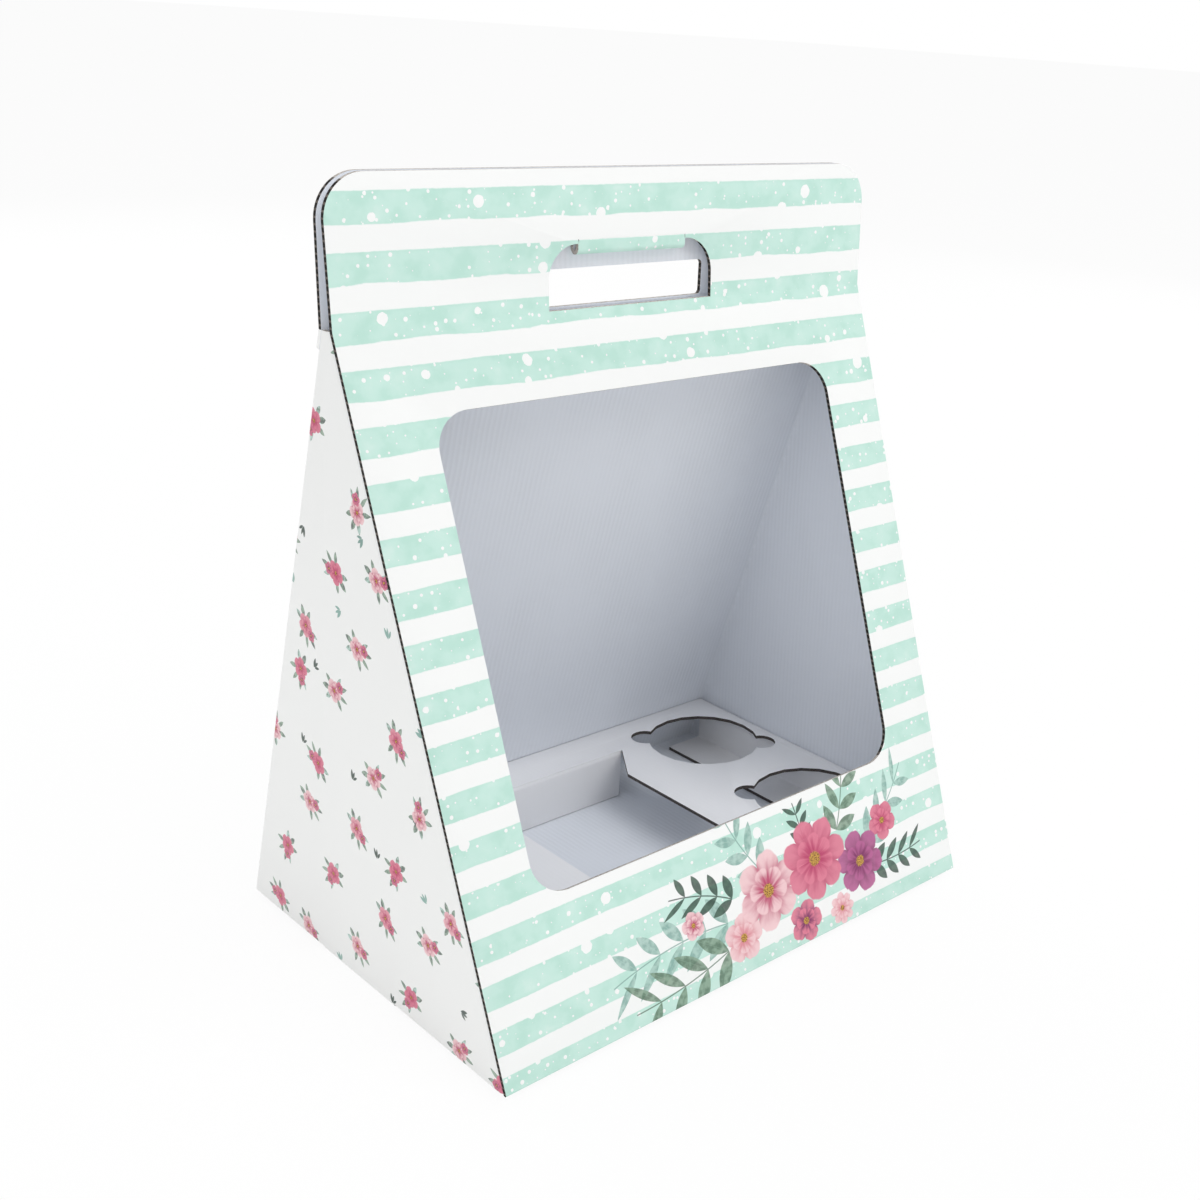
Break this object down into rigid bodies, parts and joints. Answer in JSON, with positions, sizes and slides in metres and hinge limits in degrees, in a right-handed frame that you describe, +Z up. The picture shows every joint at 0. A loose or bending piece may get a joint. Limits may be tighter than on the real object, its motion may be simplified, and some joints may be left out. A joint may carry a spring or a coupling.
{
  "type": "cupcake box",
  "caption": "Tent-shaped folding carton with a windowed front lid, a hand grip with a turned-in flap, and an insert deck with eared round holes.",
  "frame": {"origin": "centre of the bounding box in plan, at the height where the box stands", "axes": "+Z up, -Y out of the windowed front, +X to the right as seen from the front"},
  "size_m": [0.23, 0.1692, 0.2793],
  "materials": {
    "outer_board": "matte white printed micro-flute board, plain pale grey inside",
    "printed_board": "matte board printed with mint stripes, plain pale grey inside",
    "insert_board": "plain matte pale grey board"
  },
  "bodies": {
    "box": {"carrier_body": "outer_board", "cupcake_insert": "insert_board"},
    "lid": {"front_panel": "printed_board"}
  },
  "joints": [
    {"name": "lid_hinge", "type": "hinge", "parent": "box", "child": "lid", "pos_m": [0, -0.08381, 0.00255], "axis": [1, 0, 0], "range_deg": [0, 100]}
  ]
}
